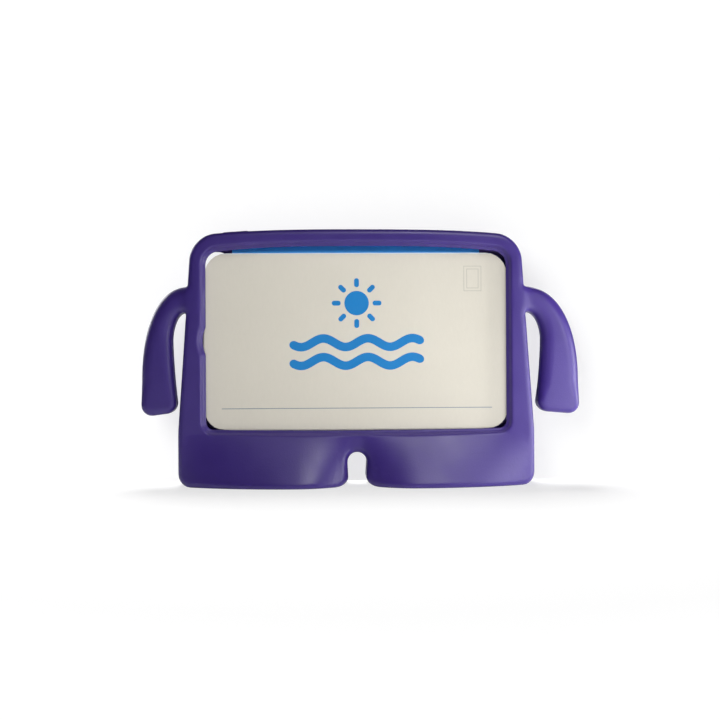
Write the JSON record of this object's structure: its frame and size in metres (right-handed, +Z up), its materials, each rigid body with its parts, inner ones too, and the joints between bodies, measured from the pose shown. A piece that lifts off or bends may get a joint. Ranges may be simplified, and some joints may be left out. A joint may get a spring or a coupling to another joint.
{
  "type": "tablet case",
  "caption": "Soft moulded foam case for a small tablet, with side arms to carry it by, feet to stand it on, a lipped window and a folded card in its pocket.",
  "frame": {"origin": "on the table under the middle of the overall width and depth of the standing case", "axes": "+X along the width, to the right seen from the front; +Y from the screen window to the back; +Z up from the feet"},
  "size_m": [0.3048, 0.0473, 0.1777],
  "materials": {
    "foam": "violet closed-cell foam, satin moulded skin",
    "card": "cream printed board with a blue top flap"
  },
  "bodies": {
    "root": {"foam_case": "foam", "insert_card": "card"}
  },
  "joints": []
}
